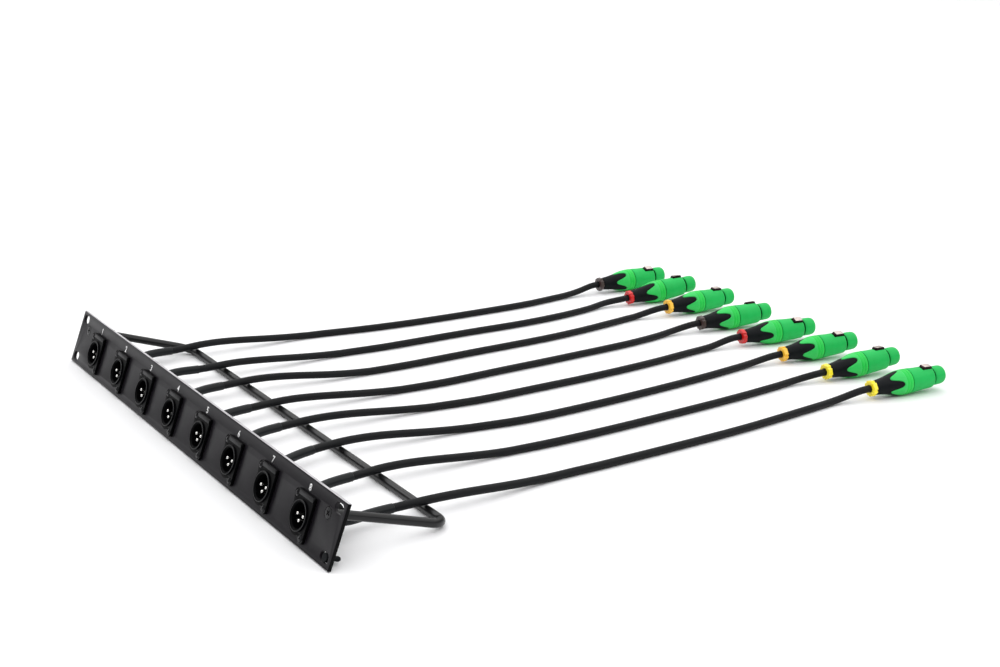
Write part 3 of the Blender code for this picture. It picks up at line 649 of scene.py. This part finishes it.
EAR_X, EAR_S, EAR_R = 9.5, 12.0, 2.45
flange = plate_mesh("flange", [flange_outline(), arc(-EAR_X, -EAR_S, EAR_R, 0, 360, 28)[:-1],
                               arc(EAR_X, EAR_S, EAR_R, 0, 360, 28)[:-1], arc(0, 0, 9.6, 3, 363, 40)[:-1]],
                    -2.15, -0.03, 0.22)
profile = [(6.2, BARREL_N), (11.8, BARREL_N), (11.8, -0.55), (10.4, -0.55), (10.4, -3.2), (9.65, -3.2), (9.0, -3.05), (8.3, -2.2),
           (8.3, 16.1), (6.2, 16.1)]
profile = rounded(profile, {1: 0.5, 4: 0.35, 6: 0.2, 7: 0.2})
body = temp("socket_base", turned("socket_base", profile, 72, joined=True))
band = plate_mesh("socket_band", [[(x, -s) for x, s in (arc(W - 1.5, H - 1.3, 1.0, 0, 90, 5) + arc(-6.2, H - 1.3, 1.0, 90, 180, 5)
                                                          + [(-7.2, 12.4), (W - 0.5, 12.4)])]], -2.62, -1.2, 0.2)
ridge = box_mesh("socket_ridge", (-7.4, -8.2, -2.5), (7.4, -9.6, -1.3), 0.15)
parts = [(temp("flange", flange), "UNION"), (temp("band", band), "UNION")]
# the catch window for a mating plug's latch, at the top inside the cup
window = box_mesh("window", (-1.7, -9.05, -0.6), (1.7, -7.4, 3.2), 0.2)
parts.append((temp("window", window), "DIFFERENCE"))
receptacle = combine("receptacle", body, parts, 32.0)
while len(receptacle.materials) < 2:
    receptacle.materials.append(None)
for poly in receptacle.polygons:          # painted highlight, a lighter black: the rim's lip, the raised band, the lower ear
    c, front = poly.center / MM, poly.normal.z < -0.8
    r = math.hypot(c.x, c.y)
    lip = c.z < -3.0 and 9.65 < r < 10.3
    top = front and c.y < -12.3 and c.x > -7.4
    ear = front and c.y > 8.0 and c.x > 4.0 and r > 11.4
    poly.material_index = 1 if lip or top or ear else 0

carrier = rounded([(0, 15.8), (8.0, 15.8), (8.0, 9.8), (0, 9.8)], {2: 0.35})
carrier_base = temp("carrier", turned("carrier", carrier, 56))
bosses = []
PINS = ((-3.81, 0.5), (3.81, 0.5), (0.0, -3.31))
for x, s in PINS:
    boss = turned("boss", rounded([(0, 10.4), (1.95, 10.4), (1.95, 9.2), (0, 9.2)], {2: 0.25}), 28)
    bosses.append((temp("boss", boss, Matrix.Translation((x * MM, -s * MM, 0))), "UNION"))
carrier_mesh = combine("contact_carrier", carrier_base, bosses, 32.0)
tip = [(0, -1.96)] + [(1.2 * math.sin(a), -1.96 + 1.1 * (1 - math.cos(a))) for a in np.linspace(0.25, math.pi / 2, 7)]
pin_mesh = turned("pin", tip + [(1.2, 18.2), (1.05, 18.5), (1.05, 19.8), (0, 19.8)], 32)
ear_head = [(0, -2.62), (0.9, -2.6), (1.7, -2.5), (2.15, -2.34), (2.28, -2.1), (2.28, -1.6), (1.45, -0.8), (1.45, 2.0), (0, 2.0)]
ear_base = temp("ear_screw", turned("ear_screw", ear_head, 36))
ear_screw = combine("ear_screw", ear_base,
                    [(temp("cross", c), "DIFFERENCE") for c in cross_cutter(0.62, 2.7, 1.0, -2.62)], 30.0)

for i in range(CHANNELS):
    n = i + 1
    at = socket_frame(i)
    piece("socket_%d" % n, receptacle, ("receptacle", "receptacle_face"), at, nodes=("receptacle_%d" % n,))
    piece("carrier_%d" % n, carrier_mesh, "insert", at, nodes=("contact_insert_%d" % n,))
    for k, (x, s) in enumerate(PINS):
        # painted shade: one pin of sockets 1 to 4 is painted dark metal, standing in for the rim's shade over it
        piece("pin_%d_%d" % (n, k + 1), pin_mesh, "pin_dull" if k == 1 and i < 4 else "pin", at @ Matrix.Translation((x * MM, -s * MM, 0)))
    for k, (x, s) in enumerate(((-EAR_X, EAR_S), (EAR_X, -EAR_S))):
        turn = Matrix.Rotation(0.4 + 0.9 * ((i * 5 + k * 3) % 7), 4, "Z")
        piece("flange_screw_%d_%d" % (n, k + 1), ear_screw, "screw",
              at @ Matrix.Translation((x * MM, -s * MM, 0)) @ turn)

# channel digits: plain numbers printed over the sockets
for i in range(CHANNELS):
    text = bpy.data.curves.new("digit", "FONT")
    text.body = str(i + 1)
    text.align_x = "CENTER"
    text.size = 1.0
    text.resolution_u = 6
    text.offset = 0.02
    ob = temp("digit", text)
    mesh = evaluated(ob, "digit_%d" % (i + 1), 30.0)
    co = np.array([v.co for v in mesh.vertices])
    lo, hi = co.min(0), co.max(0)
    scale = 4.9 / (hi[1] - lo[1])
    bm = bmesh.new()
    bm.from_mesh(mesh)
    bmesh.ops.remove_doubles(bm, verts=bm.verts, dist=1e-5)
    for v in bm.verts:
        v.co = Vector(((v.co.x - (lo[0] + hi[0]) / 2) * scale * MM, (v.co.y - (lo[1] + hi[1]) / 2) * scale * MM, 0))
    made = bmesh.ops.extrude_face_region(bm, geom=list(bm.faces))
    bmesh.ops.translate(bm, verts=[g for g in made["geom"] if isinstance(g, bmesh.types.BMVert)], vec=(0, 0, 0.05 * MM))
    bmesh.ops.recalc_face_normals(bm, faces=bm.faces)
    bm.to_mesh(mesh)
    bm.free()
    # drawn facing +Z with Y up: stand it on the plate's front
    at = PLATE @ Matrix.Translation((channel_x(i) * MM, 0, 37.7 * MM)) @ Matrix.Rotation(math.pi / 2, 4, "X")
    piece("digit_%d" % (i + 1), mesh, "print", at)

# a small black stud standing in the lower right slot; its wide head also fills the slot dark, standing in for the shade
# behind the plate
stud = rounded([(0, 0.2), (3.1, 0.2), (3.1, 5.6), (1.8, 6.2), (1.8, 10.2), (1.4, 10.6), (1.4, 11.4), (0, 11.4)], {1: 0.4, 2: 0.4, 6: 0.6})
piece("slot_stud", turned("slot_stud", stud, 40), "boot",
      PLATE @ Matrix.Translation(((PANEL_W / 2 - SLOT_EDGE) * MM, 0, (PANEL_H - SLOT_PITCH) / 2 * MM)) @ Matrix.Rotation(-math.pi / 2, 4, "X"))

# ------------------------------------------------------------------ plugs
SEG = 144
CROWN_MID, CROWN_AMP = 21.9, 5.7
U_CAP = 40.2


def edge(theta):
    """Where black meets green at angle theta from a black point."""
    c = math.cos(4 * theta)
    return CROWN_MID + CROWN_AMP * (1.27 * c - 0.27 * c ** 3)


def edge_step(theta, width):
    """How far along u a step of this width is, measured square to the edge."""
    d = (edge(theta + 0.01) - edge(theta - 0.01)) / 0.02 / 9.0
    return width * math.sqrt(1 + d * d)


def grid(name, rows, joined=False, cap_start=True, cap_end=True, angle=40.0):
    """rows: functions of theta giving (u, r)."""
    loops = []
    for row in rows:
        loop = []
        for k in range(SEG):
            theta = math.tau * k / SEG
            u, r = row(theta)
            loop.append((r * math.cos(theta), r * math.sin(theta), u))
        loops.append(loop)
    return loft(name, loops, joined=joined, cap_start=cap_start, cap_end=cap_end, angle=angle)


def fixed(u, r):
    return lambda theta: (u, r)


# black boot: bored for the cable, its outside running up to the wavy edge
rows = [fixed(9.0, 3.1), fixed(2.9, 3.1), fixed(2.35, 3.5), fixed(2.3, 5.2), fixed(2.55, 5.75), fixed(3.1, 6.0)]
for k in range(1, 15):
    t = k / 14
    rows.append(lambda theta, t=t: (3.1 + (edge(theta) - edge_step(theta, 0.45) - 3.1) * t,
                                    belly(3.1 + (edge(theta) - edge_step(theta, 0.45) - 3.1) * t) - 0.3 * smoothstep(0.4, 0.95, t)))
rows.append(lambda theta: (edge(theta) - edge_step(theta, 0.2), belly(edge(theta) - edge_step(theta, 0.2)) - 0.36))
rows.append(lambda theta: (edge(theta) - edge_step(theta, 0.08), belly(edge(theta)) - 0.55))
rows.append(lambda theta: (edge(theta) - edge_step(theta, 0.06), belly(edge(theta)) - 1.05))
for t in (0.34, 0.67, 1.0):
    rows.append(lambda theta, t=t: (edge(theta) + (28.7 - edge(theta)) * t, belly(edge(theta) + (28.7 - edge(theta)) * t) - 1.05))
rows.append(fixed(28.7, 4.0))
boot_mesh = grid("boot", rows)

# green crown and band: one cap, screwed on to the shell
rows = [lambda theta: (edge(theta) + edge_step(theta, 0.06), belly(edge(theta)) - 0.95),
        lambda theta: (edge(theta) + edge_step(theta, 0.06), belly(edge(theta)) - 0.5),
        lambda theta: (edge(theta) + edge_step(theta, 0.14), belly(edge(theta)) - 0.2),
        lambda theta: (edge(theta) + edge_step(theta, 0.34), belly(edge(theta) + edge_step(theta, 0.34)) - 0.03)]
for k in range(1, 11):
    t = k / 10
    rows.append(lambda theta, t=t: (edge(theta) + edge_step(theta, 0.34 + 0.3 * t * (1 - t)) * (1 - t) + (29.9 - edge(theta)) * t,
                                    belly(edge(theta) + edge_step(theta, 0.34 + 0.3 * t * (1 - t)) * (1 - t) + (29.9 - edge(theta)) * t)))
CROWN_ROWS = len(rows)
rows += [fixed(30.1, 10.5), fixed(30.25, 10.42), fixed(30.42, 10.56), fixed(30.7, 10.68), fixed(32.9, 10.7), fixed(33.2, 10.62),
         fixed(33.35, 10.44), fixed(33.6, 10.44), fixed(33.75, 10.62), fixed(34.05, 10.7), fixed(36.2, 10.68), fixed(36.6, 10.55),
         fixed(36.85, 10.3), fixed(36.97, 9.9), fixed(37.0, 9.4), fixed(37.0, 7.6), fixed(29.2, 7.6), fixed(29.2, belly(29.2) - 0.95)]
for t in (0.3, 0.65):
    rows.append(lambda theta, t=t: (29.2 + (edge(theta) + edge_step(theta, 0.06) - 29.2) * t,
                                    belly(29.2 + (edge(theta) - 29.2) * t) - 0.95))
crown_mesh = grid("crown", rows, joined=True)
crown_mesh.materials.append(None)
crown_mesh.materials.append(None)
for poly in crown_mesh.polygons:          # the band takes its own green
    c = poly.center
    poly.material_index = 1 if c.z > 0.0302 and math.hypot(c.x, c.y) > 0.0090 else 0

# shell with its nose collar, latch pocket and front opening
profile = [(0, 37.3), (9.5, 37.3), (10.1, 37.4), (10.38, 37.65)]
profile += [(belly(u) - 0.1 * (1 - smoothstep(38, 40, u)), u) for u in (38.3, 39.5, 41, 42.5, 44, 46, 48, 50, 52, 54, 56, 58, 59.6, 60.6)]
profile += [(9.3, 61.0), (9.1, 61.3), (8.75, 61.42), (6.6, 61.45), (6.4, 61.6), (6.4, 63.4), (6.6, 63.55), (7.3, 63.6), (7.75, 63.8),
            (7.95, 64.4), (8.03, 65.8), (8.05, 68.0), (8.0, 70.5), (7.9, 72.2), (7.65, 73.4), (7.25, 74.3), (6.8, 74.8), (6.5, 74.97),
            (6.3, 74.95), (6.2, 74.7), (6.2, 68.4), (0, 68.4)]
shell_base = temp("shell_base", turned("shell_base", profile, 112))
pocket = box_mesh("pocket", (4.9, -3.35, 50.9), (13.0, 3.35, 62.9), 0.45, 3)
shell_mesh = combine("shell", shell_base, [(temp("pocket", pocket), "DIFFERENCE")], 34.0)
while len(shell_mesh.materials) < 2:
    shell_mesh.materials.append(None)
for poly in shell_mesh.polygons:          # painted shade: the groove, the seam and the latch pocket take the dark boot colour
    c = poly.center / MM
    r = math.hypot(c.x, c.y)
    groove = 61.36 < c.z < 63.59 and r < 8.95
    in_pocket = (50.8 < c.z < 62.95 and c.x > 4.0 and abs(c.y) < 3.36
                 and (r < 8.0 or abs(poly.normal.z) > 0.7 or abs(poly.normal.y) > 0.8))
    poly.material_index = 1 if groove or in_pocket or c.z < 37.35 else 0

# front insert with three contact holes and the slot of the latch hook
insert = rounded([(0, 68.6), (6.2, 68.6), (6.2, 74.2), (0, 74.2)], {2: 0.3})
insert_base = temp("insert_base", turned("insert_base", insert, 64))
holes = []
HOLES = ((0.92, -3.81), (0.92, 3.81), (-2.89, 0.0))          # (towards the latch, across)
for a, b in HOLES:
    hole = turned("hole", [(0, 69.4), (1.35, 69.4), (1.35, 73.7), (1.75, 74.25), (1.75, 76.0), (0, 76.0)], 28)
    holes.append((temp("hole", hole, Matrix.Translation((a * MM, b * MM, 0))), "DIFFERENCE"))
holes.append((temp("hook_slot", box_mesh("hook_slot", (3.3, -1.25, 70.0), (7.5, 1.25, 76.0), 0.1)), "DIFFERENCE"))
front_mesh = combine("front_insert", insert_base, holes, 32.0)
contact_mesh = turned("contact", [(0.85, 73.2), (1.0, 73.35), (1.25, 73.35), (1.25, 69.6), (0.85, 69.6)], 28, joined=True)

# latch: a pressed tab, high at its rear end and sloping down to the nose
def latch_rows():
    out = []
    stations = [(51.42, 9.2, 2.3), (51.5, 9.9, 2.45), (51.8, 10.6, 2.6), (52.3, 11.2, 2.7), (52.9, 11.55, 2.74), (53.5, 11.66, 2.75),
                (54.6, 11.56, 2.75), (56.5, 11.5, 2.75), (58.6, 11.42, 2.75), (59.8, 11.26, 2.75), (60.6, 10.9, 2.72), (61.1, 10.4, 2.62),
                (61.4, 9.6, 2.4)]
    for u, top, half in stations:
        low, f = 6.75, 0.55
        pts = [(low, -half), (8.6, -half), (top - f, -half)]
        pts += [(top - f * (1 - math.sin(a)), -half + f * (1 - math.cos(a))) for a in np.linspace(0.35, 1.35, 4)]
        pts += [(top, -half + f * 1.1), (top - 0.04, -half * 0.4), (top - 0.06, 0.0), (top - 0.04, half * 0.4), (top, half - f * 1.1)]
        pts += [(top - f * (1 - math.sin(a)), half - f * (1 - math.cos(a))) for a in np.linspace(1.35, 0.35, 4)]
        pts += [(top - f, half), (8.6, half), (low, half)]
        out.append([(r, w, u) for r, w in pts])
    return out


latch_mesh = loft("latch", latch_rows(), angle=42.0)
while len(latch_mesh.materials) < 2:
    latch_mesh.materials.append(None)
for poly in latch_mesh.polygons:          # painted shade: the sides and ends are painted dark, standing in for shade and dark reflections
    poly.material_index = 1 if poly.normal.x < 0.62 or poly.center.z < 0.0530 else 0

# coding ring: a collar with squared pads round it
def ring_rows():
    rows = []
    for u, side_ in ((-2.0, 0.35), (-1.72, 0.05), (-1.2, 0.0), (1.2, 0.0), (1.72, 0.05), (2.0, 0.35)):
        def row(theta, u=u, side_=side_):
            phase = (theta / math.tau * 5) % 1.0
            pad = smoothstep(0.09, 0.13, phase) * (1 - smoothstep(0.87, 0.91, phase))
            flat = 6.36 / math.cos((phase - 0.5) * math.tau / 5)          # broad pads, nearly flat on top
            return u, min(5.95 + 0.87 * pad, flat) - side_
        rows.append(row)
    rows += [fixed(2.0, 3.5), fixed(1.7, 3.15), fixed(-1.7, 3.15), fixed(-2.0, 3.5)]
    return rows


ring_mesh = grid("coding_ring", ring_rows(), joined=True, angle=32.0)

CAM = cam.matrix_world.translation
for i, (m, origin, axis, latch, across) in enumerate(FRAMES):
    n = i + 1
    # the crown's place round the axis, from the side that the camera sees
    to_cam = (CAM / MM - (origin + axis * 24)).normalized()
    e1 = (to_cam - axis * to_cam.dot(axis)).normalized()
    e2 = axis.cross(e1)
    if e2.z < 0:
        e2 = -e2
    a = math.radians(CROWN_FROM_CAMERA[i])
    d = e1 * math.cos(a) + e2 * math.sin(a)
    turn = Matrix.Rotation(math.atan2(d.dot(across), d.dot(latch)), 4, "Z")
    boot = piece("boot_%d" % n, boot_mesh, "boot", m @ turn, nodes=("plug_boot_%d" % n,))
    crown = piece("crown_%d" % n, crown_mesh, ("crown", "band"), m @ turn)
    # the second slot's dark boot colour is painted shade in the groove, seam and latch pocket
    shell = piece("shell_%d" % n, shell_mesh, ("shell", "boot"), m, nodes=("plug_shell_%d" % n,))
    front = piece("front_insert_%d" % n, front_mesh, "insert", m)
    contacts = [piece("contact_%d_%d" % (n, k + 1), contact_mesh, "brass", m @ Matrix.Translation((p * MM, q * MM, 0)))
                for k, (p, q) in enumerate(HOLES)]
    ring = piece("ring_%d" % n, ring_mesh, "ring_" + RING_COLOURS[i], m @ Matrix.Rotation(0.35 + 0.7 * i, 4, "Z"),
                 nodes=("colour_ring_%d" % n,))
    tab = piece("latch_tab_%d" % n, latch_mesh, ("latch", "latch_side"), m, body="latch_%d" % n, nodes=("plug_latch_%d" % n,))
    cable, exit_at, length, path, sleeve = CORDS[i]

# ------------------------------------------------------------------ stage
bm = bmesh.new()
bmesh.ops.create_grid(bm, x_segments=2, y_segments=2, size=12.0)
floor_data = bpy.data.meshes.new("floor")
bm.to_mesh(floor_data)
bm.free()
floor = bpy.data.objects.new("floor", floor_data)
scene.collection.objects.link(floor)
floor.location.z = -0.0001
floor_mat = bpy.data.materials.new("floor")
floor_mat.use_nodes = True
nodes, links = floor_mat.node_tree.nodes, floor_mat.node_tree.links
bsdf = nodes["Principled BSDF"]
bsdf.inputs["Roughness"].default_value = 0.6
bsdf.inputs["Specular IOR Level"].default_value = 0.1
noise = nodes.new("ShaderNodeTexNoise")
noise.inputs["Scale"].default_value = 3.0
ramp = nodes.new("ShaderNodeValToRGB")
ramp.color_ramp.elements[0].color = (0.88, 0.88, 0.89, 1)
ramp.color_ramp.elements[1].color = (0.90, 0.90, 0.905, 1)
links.new(noise.outputs["Fac"], ramp.inputs["Fac"])
links.new(ramp.outputs["Color"], bsdf.inputs["Base Color"])
floor_data.materials.append(floor_mat)

world = bpy.data.worlds.new("studio")
world.use_nodes = True
world.node_tree.nodes["Background"].inputs["Color"].default_value = (1.0, 1.0, 1.0, 1.0)
world.node_tree.nodes["Background"].inputs["Strength"].default_value = 0.22
scene.world = world


def soft_light(name, at, aim, size, power):
    data = bpy.data.lights.new(name, "AREA")
    data.shape, data.size, data.size_y = "RECTANGLE", size[0], size[1]
    data.energy = power
    ob = bpy.data.objects.new(name, data)
    scene.collection.objects.link(ob)
    ob.location = at
    ob.rotation_euler = (Vector(aim) - Vector(at)).to_track_quat("-Z", "Y").to_euler()
    return ob


soft_light("ceiling", (-1.5, 1.2, 2.5), (-1.5, 1.2001, 0.0), (9.0, 9.0), 372.0)
soft_light("side_light", (2.0, 1.5, 1.3), (0.0, 0.3, 0.0), (1.2, 1.2), 10.0)
soft_light("front_light", (-1.5, -1.0, 1.3), (0.0, 0.0, 0.0), (0.7, 0.7), 5.0)

scene.view_settings.view_transform = "Standard"
scene.view_settings.look = "None"
scene.view_settings.exposure = 0.0
